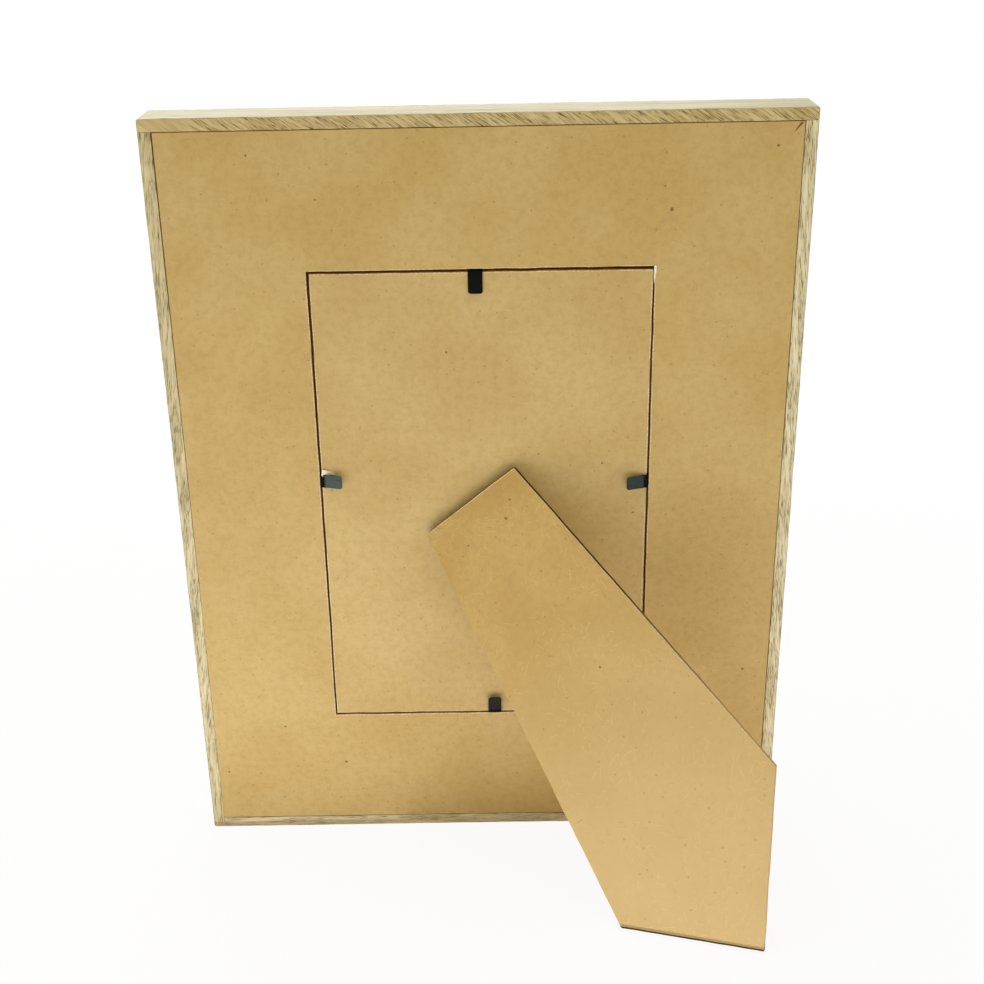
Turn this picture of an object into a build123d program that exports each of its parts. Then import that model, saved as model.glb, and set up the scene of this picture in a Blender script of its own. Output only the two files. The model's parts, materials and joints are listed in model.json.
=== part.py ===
from build123d import *

import os
from math import cos, radians, sin, sqrt, tan

# Easel back photo frame, standing on a table on its lower rear edge and the foot of its open leg.
# Lengths are in millimetres and angles in degrees. Left and right are as seen from the back.
# The origin is on the table, under the middle of the standing frame, and the front faces -Y.

# The print that the frame is made for, and the stack that holds it
print_width = 101.6
print_height = 152.4
print_thickness = 0.25
print_room = 1.2
glass_thickness = 2.0
glass_room = 0.5
card_thickness = 0.7
stack_slack = 0.05
door_thickness = 3.0

# The wooden frame
border_width = 45.6
rim_width = 3.8
rim_corner_radius = 1.2
board_thickness = 9.0
sight_lip = 5.0
sight_bevel = 2.0
panel_gap = 0.2

# The nails across each mitre
nail_leg = 5.0
nail_thickness = 0.6
nail_spread_angle = 50
nail_height_share = 0.65
nail_spot_shares = (0.28, 0.64)

# The tabs that hold the door, and the room that the door leaves them beside its edges
tab_width = 4.4
tab_thickness = 0.3
tab_blade_length = 7.0
tab_shank_length = 7.0
tab_shank_depth = 1.0
tab_corner_radius = 0.8
tab_door_clearance = 0.15
tab_bend_clearance = 0.1
tab_side_room = 0.65
tab_top_room = 0.6
tab_bottom_room = 0.3
tab_top_shift = -1.6
tab_bottom_shift = 2.2
tab_left_rise = 9.7
tab_right_rise = 7.8
tab_top_lift = 0
tab_left_lift = 14
tab_right_lift = 16
tab_bottom_lift = 12

# How the frame stands
lean_angle = 11.3
leg_open_angle = 32.1

# The easel leg
leg_thickness = 3.0
leg_top_width = 35.9
leg_taper_angle = 7.1
heel_clearance = 0.15

# The strut hinge between the door and the leg
hinge_shift = -0.1
hinge_rise = 120.2
hinge_turn = 38.7
plate_width = 22.0
plate_length = 16.0
plate_thickness = 0.6
pin_radius = 0.9
pin_clearance = 0.05
pin_head_radius = 1.4
pin_head_thickness = 0.5
pin_head_clearance = 0.1
leg_eye_width = 9.0
eye_side_clearance = 0.25
eye_clearance = 0.25
prong_width = 3.0
prong_length_share = 0.65
prong_place_share = 0.7

# Sizes that follow from these
cutout_width = print_width + 2 * print_room
cutout_height = print_height + 2 * print_room
frame_width = cutout_width + 2 * border_width
frame_height = cutout_height + 2 * border_width
panel_thickness = glass_thickness + print_thickness + card_thickness + stack_slack + door_thickness
frame_depth = board_thickness + panel_thickness
middle_height = frame_height / 2
sight_border = border_width + sight_lip
mitre_length = (sight_border - rim_width) * sqrt(2)
door_side_gap = tab_thickness + tab_side_room
door_top_gap = tab_thickness + tab_top_room
door_bottom_gap = tab_thickness + tab_bottom_room
eye_radius = pin_radius + pin_clearance + plate_thickness
pin_standoff = eye_radius + eye_clearance

# The leg's geometry in the frame's own directions: x to the right, y up the back and z out of it
hinge_angle = radians(hinge_turn)
open_angle = radians(leg_open_angle)
lean = radians(lean_angle)
hinge_along = Vector(cos(hinge_angle), sin(hinge_angle), 0)
folded_down = Vector(sin(hinge_angle), -cos(hinge_angle), 0)
out_of_back = Vector(0, 0, 1)
leg_down = folded_down * cos(open_angle) + out_of_back * sin(open_angle)
leg_out = out_of_back * cos(open_angle) - folded_down * sin(open_angle)
pin_place = Vector(hinge_shift, hinge_rise, pin_standoff)
leg_start = pin_place + leg_out * pin_standoff

# The heel reaches past the pin until it bears on the door when the leg is open
heel_length = (pin_standoff + pin_standoff * cos(open_angle) - heel_clearance) / sin(open_angle)


def table_line(edge_point, table_up):
    """The line a * x + b * y = c where the leg's inner face meets a table, x across and y up the leg."""
    return table_up.dot(hinge_along), -table_up.dot(leg_down), table_up.dot(edge_point - leg_start)


def crossing(first, second):
    """The point where two such lines cross."""
    a1, b1, c1 = first
    a2, b2, c2 = second
    across = a1 * b2 - a2 * b1
    return (c1 * b2 - c2 * b1) / across, (a1 * c2 - a2 * c1) / across


# One foot edge is for the frame standing upright, the other for the frame standing on its right side
upright_foot = table_line(Vector(0, 0, 0), Vector(0, cos(lean), -sin(lean)))
sideways_foot = table_line(Vector(frame_width / 2, 0, 0), Vector(-cos(lean), 0, -sin(lean)))
taper = tan(radians(leg_taper_angle))
leg_reach = leg_top_width / 2 + heel_length * taper
left_edge = (1, -taper, -leg_reach)
right_edge = (1, taper, leg_reach)
leg_tip = crossing(upright_foot, sideways_foot)
leg_corners = (
    (-leg_top_width / 2, heel_length),
    (leg_top_width / 2, heel_length),
    crossing(right_edge, sideways_foot),
    leg_tip,
    crossing(left_edge, upright_foot),
)

# The standing frame's footprint runs from its front lower edge to the leg's tip
tip_place = leg_start + hinge_along * leg_tip[0] - leg_down * leg_tip[1] + leg_out * leg_thickness
tip_reach = tip_place.Y * sin(lean) + tip_place.Z * cos(lean)
rear_edge_y = (frame_depth * cos(lean) - tip_reach) / 2

# The plane of the back, with its origin at the middle of the lower rear edge
back_plane = Plane(origin=(0, rear_edge_y, 0), x_dir=(-1, 0, 0), z_dir=(0, cos(lean), -sin(lean)))
quarter_turn = 90


def back_point(x, y, height):
    """A point on the back, x right of the middle, y above the lower edge and height out of it."""
    return back_plane.from_local_coords((x, y, height))


def back_direction(turn):
    """The direction in the back that is turned from level by an angle."""
    return back_plane.x_dir * cos(radians(turn)) + back_plane.y_dir * sin(radians(turn))


hinge_plane = Plane(
    origin=back_point(hinge_shift, hinge_rise, 0), x_dir=back_direction(hinge_turn), z_dir=back_plane.z_dir
)
leg_pin_plane = hinge_plane.offset(pin_standoff).moved(Rot(X=-leg_open_angle))
leg_plane = leg_pin_plane.offset(pin_standoff)
pin_plane = Plane(origin=leg_pin_plane.origin, x_dir=back_plane.z_dir, z_dir=back_direction(hinge_turn))

os.makedirs("parts", exist_ok=True)


def corners(inset):
    """The four corners of a rectangle inside the frame's outline, from the lower left and round by the right."""
    side = frame_width / 2 - inset
    top = frame_height - inset
    return (-side, inset), (side, inset), (side, top), (-side, top)


# The edge strips: the top one lies over the side ones, and the bottom one stands between them
lower_left, lower_right, upper_right, upper_left = corners(0)
side_strip_x = (frame_width - rim_width) / 2
side_strip_height = frame_height - rim_width
strips = {
    "rim_top": (0, frame_height - rim_width / 2, frame_width, rim_width, (upper_left, upper_right)),
    "rim_left": (-side_strip_x, side_strip_height / 2, rim_width, side_strip_height, (lower_left,)),
    "rim_right": (side_strip_x, side_strip_height / 2, rim_width, side_strip_height, (lower_right,)),
    "rim_bottom": (0, rim_width / 2, frame_width - 2 * rim_width, rim_width, ()),
}
for strip_name, (x, y, width, height, rounded_corners) in strips.items():
    with BuildPart() as strip:
        with BuildSketch(back_plane.offset(-frame_depth)) as outline:
            with Locations((x, y)):
                Rectangle(width, height)
            for corner in rounded_corners:
                fillet(outline.vertices().sort_by_distance((*corner, 0))[0], rim_corner_radius)
        extrude(amount=frame_depth)
    strip.part.label = strip_name
    export_step(strip.part, f"parts/{strip_name}.step")


# The front boards are mitred, with two nails across each mitre from behind
outer_corners = corners(rim_width)
sight_corners = corners(sight_border)
nail_height = nail_height_share * board_thickness
nail_half_width = nail_leg * sin(radians(nail_spread_angle))
nail_sweep = nail_leg * cos(radians(nail_spread_angle))
nail_step = nail_thickness / sin(radians(nail_spread_angle))
nail_outlines = []
for number, (x, y) in enumerate(outer_corners):
    inward = back_direction(quarter_turn / 2 + number * quarter_turn)
    mitre_plane = Plane(origin=back_point(x, y, -panel_thickness), x_dir=inward, z_dir=back_plane.z_dir)
    with BuildSketch(mitre_plane) as corner_nails:
        for spot_share in nail_spot_shares:
            with Locations((spot_share * mitre_length, 0)):
                Polygon(
                    (0, 0),
                    (-nail_sweep, nail_half_width),
                    (-nail_sweep - nail_step, nail_half_width),
                    (-nail_step, 0),
                    (-nail_sweep - nail_step, -nail_half_width),
                    (-nail_sweep, -nail_half_width),
                )
    nail_outlines.append(corner_nails.sketch)

board_names = ("front_bottom_rail", "front_right_stile", "front_top_rail", "front_left_stile")
for number, board_name in enumerate(board_names):
    after = (number + 1) % len(board_names)
    with BuildPart() as board:
        with BuildSketch(back_plane.offset(-frame_depth)):
            Polygon(outer_corners[number], outer_corners[after], sight_corners[after], sight_corners[number])
        extrude(amount=board_thickness)
        front_edges = board.faces().sort_by(Axis((0, 0, 0), back_plane.z_dir))[0].edges()
        chamfer(front_edges.sort_by_distance(back_point(0, middle_height, -frame_depth))[0], sight_bevel)
        for nail_outline in nail_outlines:
            extrude(nail_outline, amount=-nail_height, mode=Mode.SUBTRACT)
    board.part.label = board_name
    export_step(board.part, f"parts/{board_name}.step")

with BuildPart() as corner_v_nails:
    for nail_outline in nail_outlines:
        extrude(nail_outline, amount=-nail_height)
corner_v_nails.part.label = "corner_v_nails"
export_step(corner_v_nails.part, "parts/corner_v_nails.step")


# Each tab leaves the wall of the cut-out at a place, points over the door and is lifted a little at rest
wall_side = cutout_width / 2
wall_top = frame_height - border_width
tabs = {
    "tab_top": (tab_top_shift, wall_top, 3 * quarter_turn, door_top_gap, tab_top_lift),
    "tab_left": (-wall_side, middle_height + tab_left_rise, 0, door_side_gap, tab_left_lift),
    "tab_right": (wall_side, middle_height + tab_right_rise, 2 * quarter_turn, door_side_gap, tab_right_lift),
    "tab_bottom": (tab_bottom_shift, border_width, quarter_turn, door_bottom_gap, tab_bottom_lift),
}
tab_half = tab_thickness / 2
bend_height = tab_half + tab_door_clearance
shank_top = bend_height - tab_half - tab_bend_clearance


def tab_plane(x, y, turn):
    """The plane across a tab: its x points over the door and its y out of the back."""
    over_door = back_direction(turn)
    return Plane(origin=back_point(x, y, 0), x_dir=over_door, z_dir=over_door.cross(back_plane.z_dir))


for tab_name, (x, y, turn, gap, lift) in tabs.items():
    across_tab = tab_plane(x, y, turn)
    bend = gap / 2

    # The shank is driven into the wall and rises in the gap beside the door
    with BuildPart() as shank:
        with BuildSketch(across_tab):
            Polygon(
                (-tab_shank_length, -tab_shank_depth - tab_half),
                (bend + tab_half, -tab_shank_depth - tab_half),
                (bend + tab_half, shank_top),
                (bend - tab_half, shank_top),
                (bend - tab_half, -tab_shank_depth + tab_half),
                (-tab_shank_length, -tab_shank_depth + tab_half),
            )
        extrude(amount=tab_width / 2, both=True)
    shank.part.label = f"{tab_name}_shank"
    export_step(shank.part, f"parts/{tab_name}_shank.step")

    # The blade turns on the bend and lies over the door
    bend_plane = across_tab.moved(Location((bend, bend_height, 0), (0, 0, lift)))
    with BuildPart() as blade:
        with BuildSketch(Plane(origin=bend_plane.origin, x_dir=bend_plane.x_dir, z_dir=bend_plane.y_dir)) as outline:
            with Locations((tab_blade_length / 2, 0)):
                Rectangle(tab_blade_length, tab_width)
            fillet(outline.vertices().group_by(Axis.X)[-1], tab_corner_radius)
        extrude(amount=tab_half, both=True)
        with BuildSketch(bend_plane):
            Circle(tab_half)
        extrude(amount=tab_width / 2, both=True)
    blade.part.label = f"{tab_name}_blade"
    export_step(blade.part, f"parts/{tab_name}_blade.step")


# The back panel, with its cut-out and a slot for each tab
panel_inset = rim_width + panel_gap
with BuildPart() as back_panel:
    with BuildSketch(back_plane.offset(-panel_thickness)):
        Polygon(*corners(panel_inset))
        Polygon(*corners(border_width), mode=Mode.SUBTRACT)
    extrude(amount=panel_thickness)
    for x, y, turn, gap, lift in tabs.values():
        with BuildSketch(tab_plane(x, y, turn)):
            with Locations((-tab_shank_length / 2, -tab_shank_depth)):
                Rectangle(tab_shank_length, tab_thickness)
        extrude(amount=tab_width / 2, both=True, mode=Mode.SUBTRACT)
back_panel.part.label = "back_panel"
export_step(back_panel.part, "parts/back_panel.step")


# The stack in the cut-out, from the glass on the boards' lip to the card behind the print
print_inset = border_width + print_room
sheets = {
    "glass_pane": (border_width + glass_room, -panel_thickness, glass_thickness),
    "picture_sheet": (print_inset, -panel_thickness + glass_thickness, print_thickness),
    "filler_card": (print_inset, -door_thickness - stack_slack - card_thickness, card_thickness),
}
for sheet_name, (inset, front, thickness) in sheets.items():
    with BuildPart() as sheet:
        with BuildSketch(back_plane.offset(front)):
            Polygon(*corners(inset))
        extrude(amount=thickness)
    sheet.part.label = sheet_name
    export_step(sheet.part, f"parts/{sheet_name}.step")


def prong_outlines():
    """The three prongs bent over at the edges of a hinge plate, x along the pin and y up the leg."""
    side_x = (plate_width - plate_thickness) / 2
    with Locations((-side_x, -prong_place_share * plate_length), (side_x, -prong_place_share * plate_length)):
        Rectangle(plate_thickness, prong_width)
    with Locations((0, -plate_length + plate_thickness / 2)):
        Rectangle(prong_width, plate_thickness)


# The door lies flush with the panel and sits low in the cut-out
door_prong_length = prong_length_share * door_thickness
door_side = wall_side - door_side_gap
door_bottom = border_width + door_bottom_gap
door_top = wall_top - door_top_gap
with BuildPart() as door_panel:
    with BuildSketch(back_plane.offset(-door_thickness)):
        Polygon((-door_side, door_bottom), (door_side, door_bottom), (door_side, door_top), (-door_side, door_top))
    extrude(amount=door_thickness)
    with BuildSketch(hinge_plane):
        prong_outlines()
    extrude(amount=-door_prong_length, mode=Mode.SUBTRACT)
door_panel.part.label = "door_panel"
export_step(door_panel.part, "parts/door_panel.step")

# The leg, with its two foot edges cut square
leg_prong_length = prong_length_share * leg_thickness
with BuildPart() as easel_leg:
    with BuildSketch(leg_plane):
        Polygon(*leg_corners)
    extrude(amount=leg_thickness)
    with BuildSketch(leg_plane):
        prong_outlines()
    extrude(amount=leg_prong_length, mode=Mode.SUBTRACT)
easel_leg.part.label = "easel_leg"
export_step(easel_leg.part, "parts/easel_leg.step")

# The door's hinge plate has an eye on each side of the leg's eye
eye_notch = eye_radius + eye_clearance
leg_eye_slot = leg_eye_width + 2 * eye_side_clearance
bore_radius = pin_radius + pin_clearance
with BuildPart() as hinge_door_plate:
    with BuildSketch(hinge_plane):
        with Locations((0, -plate_length / 2)):
            Rectangle(plate_width, plate_length)
    extrude(amount=plate_thickness)
    with BuildSketch(pin_plane):
        Circle(eye_radius)
    extrude(amount=plate_width / 2, both=True)
    with BuildSketch(hinge_plane):
        Rectangle(leg_eye_slot, 2 * eye_notch)
    extrude(amount=pin_standoff + eye_notch, mode=Mode.SUBTRACT)
    with BuildSketch(pin_plane):
        Circle(bore_radius)
    extrude(amount=plate_width / 2, both=True, mode=Mode.SUBTRACT)
    with BuildSketch(hinge_plane):
        prong_outlines()
    extrude(amount=-door_prong_length)
hinge_door_plate.part.label = "hinge_door_plate"
export_step(hinge_door_plate.part, "parts/hinge_door_plate.step")

# The leg's hinge plate has one eye in the middle and stands clear of the door's eyes
with BuildPart() as hinge_leg_plate:
    with BuildSketch(leg_plane):
        with Locations((0, -(eye_notch + plate_length) / 2)):
            Rectangle(plate_width, plate_length - eye_notch)
        with Locations((0, -eye_notch / 2)):
            Rectangle(leg_eye_width, eye_notch)
    extrude(amount=-plate_thickness)
    with BuildSketch(pin_plane):
        Circle(eye_radius)
    extrude(amount=leg_eye_width / 2, both=True)
    with BuildSketch(pin_plane):
        Circle(bore_radius)
    extrude(amount=leg_eye_width / 2, both=True, mode=Mode.SUBTRACT)
    with BuildSketch(leg_plane):
        prong_outlines()
    extrude(amount=leg_prong_length)
hinge_leg_plate.part.label = "hinge_leg_plate"
export_step(hinge_leg_plate.part, "parts/hinge_leg_plate.step")

# The pin is held by a head at each end
pin_half_length = plate_width / 2 + pin_head_clearance
with BuildPart() as hinge_pin:
    with BuildSketch(pin_plane):
        Circle(pin_radius)
    extrude(amount=pin_half_length, both=True)
    for end in (-1, 1):
        with BuildSketch(pin_plane.offset(end * pin_half_length)):
            Circle(pin_head_radius)
        extrude(amount=end * pin_head_thickness)
hinge_pin.part.label = "hinge_pin"
export_step(hinge_pin.part, "parts/hinge_pin.step")
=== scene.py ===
import json
from functools import partial, reduce
from math import atan2, pi, radians

import bmesh
import bpy
from mathutils import Matrix, Vector, noise
from mathutils.geometry import intersect_point_line


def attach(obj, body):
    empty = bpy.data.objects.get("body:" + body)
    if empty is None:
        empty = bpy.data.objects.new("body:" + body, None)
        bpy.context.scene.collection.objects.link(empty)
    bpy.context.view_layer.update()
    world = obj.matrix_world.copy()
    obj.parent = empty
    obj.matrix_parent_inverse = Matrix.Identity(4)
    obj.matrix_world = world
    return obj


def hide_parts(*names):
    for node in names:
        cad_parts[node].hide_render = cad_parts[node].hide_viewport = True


# Easel back photo frame, seen from the back as it stands on its open leg.
# Lengths are in metres. A finish's tones are screen levels from 0 to 255, and those of the stage are shares.
# Left and right are as seen from the back.

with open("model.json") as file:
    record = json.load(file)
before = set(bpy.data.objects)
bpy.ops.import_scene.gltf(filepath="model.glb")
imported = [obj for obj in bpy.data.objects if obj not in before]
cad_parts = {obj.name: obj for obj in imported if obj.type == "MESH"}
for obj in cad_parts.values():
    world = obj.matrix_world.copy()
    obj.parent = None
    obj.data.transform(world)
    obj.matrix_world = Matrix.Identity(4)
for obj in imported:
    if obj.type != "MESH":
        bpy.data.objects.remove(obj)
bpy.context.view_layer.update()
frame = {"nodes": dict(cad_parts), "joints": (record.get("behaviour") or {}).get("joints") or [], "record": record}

# Limits for merging and shading
tiny = 1e-6
merge_angle = radians(1)
smooth_angle = radians(35)

# Limits for picking edges and faces, first those on a normal's share along a direction
square_limit = 0.3
level_limit = 0.9
side_limit = 0.95
face_limit = 0.5
arris_limit = 0.8
outline_reach = 0.0006
border_reach = 0.02

# The boards, which the saw leaves wavy and fuzzy
wander_seed = 4
saw_cuts = 56
saw_wander = 0.00012
saw_wander_length = 0.006
board_arris = 0.0003
board_hidden_arris = 0.00015
glass_room = 0.0005
panel_left_taper = 0.0002
panel_outer_arris = 0.00008
door_over_width = 0.00028
door_turn = radians(-0.12)
door_frayed_arris = 0.0004
# The foot's chamfer is painted dark grey as a contact shadow on the table
leg_foot_chamfer = 0.0007
leg_foot_slope = 0.7
# The top chamfer's dark facets are the burnt cut and painted shade of the shadow line above the leg
leg_top_chamfer = 0.0006
leg_crushed_corner = 0.0018
# The leg's face grows paler towards the foot: painted light, not a change in the board
leg_painted_light_from = 0.01
leg_painted_light_full = -0.13
# The leg's cut edge fades from its dark tone to a paler one towards the foot: painted shade above, painted light
# below
leg_cut_painted_light_from = -0.03
leg_cut_painted_light_full = -0.11

# Marks on the boards, in each board's own directions. A fleck is a place across, a place up and a radius
panel_flecks = (
    (0.0563, 0.2173, 0.00075),
    (0.0863, 0.2353, 0.0006),
    (0.0542, 0.2242, 0.0004),
    (-0.067, 0.2351, 0.00045),
    (-0.0479, 0.222, 0.0004),
    (-0.0696, 0.0412, 0.00045),
    (-0.0904, 0.0231, 0.0005),
    (-0.0495, 0.0266, 0.0006),
    (0.0855, 0.0612, 0.0006),
)
door_flecks = (
    (0.0372, 0.137, 0.00045),
    (0.0472, 0.1198, 0.00045),
    (-0.0264, 0.1013, 0.0004),
    (0.0172, 0.1405, 0.0004),
    (-0.0109, 0.1746, 0.00045),
)
leg_flecks = (
    (0.0112, -0.0017, 0.0004),
    (0.0067, -0.0058, 0.0006),
    (-0.0085, -0.0056, 0.00045),
    (0.0053, -0.0605, 0.0005),
)
fleck_grain = 0.001
fleck_raggedness = 0.0006
scratch_from = Vector((0.0928, 0.2417, 0))
scratch_to = Vector((0.0906, 0.239, 0))
scratch_radius = 0.00035
scratch_taper = 6
torn_flake_thickness = 0.00012
torn_flake_cuts = 7
torn_flake_spread = 1.15

# The edge strips and the front boards. A figure is the length and width of the wood's bands
strip_cuts = 64
strip_wander = 0.00012
strip_wander_length = 0.004
strip_corner_radius = 0.0008
strip_outer_arris = 0.00025
strip_inner_arris = 0.0002
strip_figure = (0.018, 0.002)
strip_side_figure = (0.07, 0.0042)
strip_arris_figure = (0.02, 0.003)
top_plain_end = -0.088
plain_end_fade = 0.012
front_arris = 0.00035
front_arris_least_length = 0.03
front_figure = (0.09, 0.0052)

# The tabs, the hinge and the glass
tab_cuts = 8
tab_corner_radius = 0.0011
tab_bow = 0.0002
tab_bend_radius = 0.0004
tab_bend_steps = 5
tab_stem_rise = 0.0001
# Where the painted reflection on a tab's flap begins and where it is full
tab_reflection_from = 0.0009
tab_reflection_full = 0.0017
steel_arris = 0.00005
hinge_arris = 0.0001
hinge_sharp_angle = radians(50)
glass_arris = 0.0002
glass_off_paper = 0.00005

# The stage
floor_size = 8
floor_drop = 0.0001
floor_tone = (0.92, 0.92, 0.92, 1)
floor_white = 0.9
floor_white_from = 0.7
room_tone = (0.53, 0.505, 0.41, 1)
seen_room_tone = (1, 1, 1, 1)
white = (1, 1, 1)
warm_white = (1, 0.96, 0.82)
cool_white = (0.96, 1, 1.2)
frame_middle = (0, -0.01, 0.12)
bounce_height = 0.002
camera_place = (-0.00197, 0.44035, 0.22791)
camera_turn = (radians(77.242), radians(1.025), radians(-179.815))
camera_lens = 53.53
camera_shift = 0.0119

noise.seed_set(wander_seed)


# The back's own directions, from the middle of its lower rear edge: x to the right, y up it and z out of it
def directions(right, up, origin):
    """The matrix from a piece's own directions to the scene's."""
    turned = Matrix((right, up, right.cross(up))).transposed().to_4x4()
    return Matrix.Translation(origin) @ turned


def own_points(node, to_scene):
    """The points of a CAD node in a piece's own directions."""
    to_own = to_scene.inverted()
    return [to_own @ vertex.co for vertex in frame["nodes"][node].data.vertices]


def span(node, to_scene):
    """The lowest and highest corners of a CAD node in a piece's own directions."""
    places = own_points(node, to_scene)
    low = Vector([min(place[axis] for place in places) for axis in range(3)])
    high = Vector([max(place[axis] for place in places) for axis in range(3)])
    return low, high


lower_edge = frame["record"]["mounts"][0]
lower_face = directions(Vector((-1, 0, 0)), -Vector(lower_edge["axis"]), Vector(lower_edge["pos_m"]))
back = lower_face @ Matrix.Translation((0, 0, span("rim_left", lower_face)[1].z))
out_of_back = back.col[2].to_3d()
joints = {joint["name"]: joint for joint in frame["joints"]}
half_width = span("rim_top", back)[1].x
height = span("rim_top", back)[1].y

# Tones inside the finishes
mottled_tan = (174, 140, 72)
pale_fibre = (232, 203, 130)
brown_fibre = (138, 102, 44)
bark = (92, 62, 22)
fuzz_light = (250, 232, 190)
fuzz_dark = (206, 176, 122)
worn_fuzz = (180, 146, 92)
stained_wood = (214, 186, 122)
wood_streak = (138, 112, 52)
wood_pore = (104, 82, 36)
bare_black = (10, 9, 8)
bright_zinc = (196, 197, 194)
dull_zinc = (158, 160, 160)
glass_tone = (250, 252, 251)


# Materials
def paint(levels):
    """A colour in screen levels, as a shader takes it."""
    shares = [level / 255 for level in levels]
    return [share / 12.92 if share < 0.04045 else ((share + 0.055) / 1.055) ** 2.4 for share in shares] + [1]


class Nodes:
    """A node tree in the making. Most calls add a node and return what comes out of it."""

    def __init__(self, tree):
        self.tree = tree

    def feed(self, socket, value):
        """Links a socket to another node's output, or sets it to a plain value."""
        if isinstance(value, bpy.types.NodeSocket):
            self.tree.links.new(value, socket)
        else:
            socket.default_value = value

    def add(self, kind, inputs, **choices):
        """A new node, with its choices made and its inputs fed."""
        node = self.tree.nodes.new(kind)
        for choice, value in choices.items():
            setattr(node, choice, value)
        for socket, value in inputs.items():
            self.feed(node.inputs[socket], value)
        return node

    def math(self, operation, first, second):
        return self.add("ShaderNodeMath", {0: first, 1: second}, operation=operation).outputs["Value"]

    def mix(self, share, first, second):
        """The first colour where a share is 0 and the second where it is 1."""
        return self.add("ShaderNodeMix", {0: share, 6: first, 7: second}, data_type="RGBA").outputs[2]

    def seen_share(self):
        """1 for rays from the camera, a mirror or glass, and 0 for the rays that carry light."""
        path = self.add("ShaderNodeLightPath", {}).outputs
        mirrored = self.math("MAXIMUM", path["Is Glossy Ray"], path["Is Transmission Ray"])
        return self.math("MAXIMUM", path["Is Camera Ray"], mirrored)


class Finish(Nodes):
    """A material in the making, its patterns laid out in a piece's own directions."""

    def __init__(self, name):
        self.material = bpy.data.materials.new(name)
        self.material.use_nodes = True
        super().__init__(self.material.node_tree)
        self.shader = self.tree.nodes["Principled BSDF"]
        self.point = self.add("ShaderNodeTexCoord", {}).outputs["Object"]

    def place(self, to_scene, size):
        """Where a point is in a piece's own directions, counted in sizes of a pattern (one or three)."""
        inputs = {
            "Vector": self.point,
            "Location": to_scene.translation,
            "Rotation": to_scene.to_euler(),
            "Scale": size if isinstance(size, tuple) else (size, size, size),
        }
        return self.add("ShaderNodeMapping", inputs, vector_type="TEXTURE").outputs["Vector"]

    def measure(self, to_scene, axis):
        """How far a point is along one of a piece's own directions."""
        return self.add("ShaderNodeSeparateXYZ", {"Vector": self.place(to_scene, 1)}).outputs[axis]

    def noise(self, to_scene, size, detail=2, roughness=0.5, distortion=0):
        """A cloudy pattern from 0 to 1, as large along each direction as is asked."""
        inputs = {
            "Vector": self.place(to_scene, size),
            "Scale": 1,
            "Detail": detail,
            "Roughness": roughness,
            "Distortion": distortion,
        }
        return self.add("ShaderNodeTexNoise", inputs).outputs["Fac"]

    def size_of(self, value):
        return self.math("ABSOLUTE", value, 0)

    def fade(self, value, none, full):
        """0 where a value is at one end and 1 where it is at the other."""
        inputs = {"Value": value, "From Min": none, "From Max": full}
        return self.add("ShaderNodeMapRange", inputs, interpolation_type="SMOOTHSTEP").outputs["Result"]

    def between(self, pattern, low, high):
        """A number that runs from one value to another with a pattern."""
        return self.math("ADD", self.math("MULTIPLY", pattern, high - low), low)

    def tint(self, colour, pattern, strength, levels):
        """Mixes a colour in where a pattern is, as strongly as is asked."""
        return self.mix(self.math("MULTIPLY", pattern, strength), colour, paint(levels))

    def fibres(self, to_scene, cell, length, width, share):
        """Short bent fibres strewn over a board, each turned its own way: 1 on a fibre and 0 beside it."""
        board = self.place(to_scene, 1)
        spread = {"Vector": board, "Scale": 1 / cell}
        cells = self.add("ShaderNodeTexVoronoi", spread, voronoi_dimensions="2D").outputs
        chance = self.add("ShaderNodeSeparateColor", {"Color": cells["Color"]}).outputs
        ends = {0: board, 1: cells["Position"]}
        offset = self.add("ShaderNodeVectorMath", ends, operation="SUBTRACT").outputs["Vector"]
        turn = {"Vector": offset, "Angle": self.math("MULTIPLY", chance["Red"], 2 * pi)}
        turned = self.add("ShaderNodeVectorRotate", turn, rotation_type="Z_AXIS").outputs["Vector"]
        axes = self.add("ShaderNodeSeparateXYZ", {"Vector": turned}).outputs
        curl = self.math("DIVIDE", self.math("SUBTRACT", chance["Green"], 0.5), length)
        bend = self.math("MULTIPLY", self.math("POWER", axes["X"], 2), curl)
        across = self.size_of(self.math("ADD", axes["Y"], bend))
        in_width = self.fade(across, width, width / 2)
        in_length = self.fade(self.size_of(axes["X"]), length / 2, length / 4)
        chosen = self.math("LESS_THAN", chance["Blue"], share)
        return self.math("MULTIPLY", self.math("MULTIPLY", in_width, in_length), chosen)

    def flecks(self, to_scene, spots):
        """Dark ragged bits of bark at chosen places on a board, each with its radius."""
        board = self.place(to_scene, 1)
        swell = self.math("SUBTRACT", self.noise(to_scene, fleck_grain, detail=3), 0.5)
        ragged = self.math("MULTIPLY", swell, fleck_raggedness)
        marks = []
        for x, y, radius in spots:
            ends = {0: board, 1: (x, y, 0)}
            far = self.add("ShaderNodeVectorMath", ends, operation="DISTANCE").outputs["Value"]
            marks.append(self.fade(self.math("ADD", far, ragged), radius, radius / 2))
        return reduce(partial(self.math, "MAXIMUM"), marks)

    def bump(self, pattern, depth):
        raised = self.add("ShaderNodeBump", {"Height": pattern, "Distance": depth})
        self.feed(self.shader.inputs["Normal"], raised.outputs["Normal"])

    def done(self, **inputs):
        """Gives the shader its inputs, named with underscores, and returns the material."""
        for socket, value in inputs.items():
            self.feed(self.shader.inputs[socket.replace("_", " ")], value)
        return self.material


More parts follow.
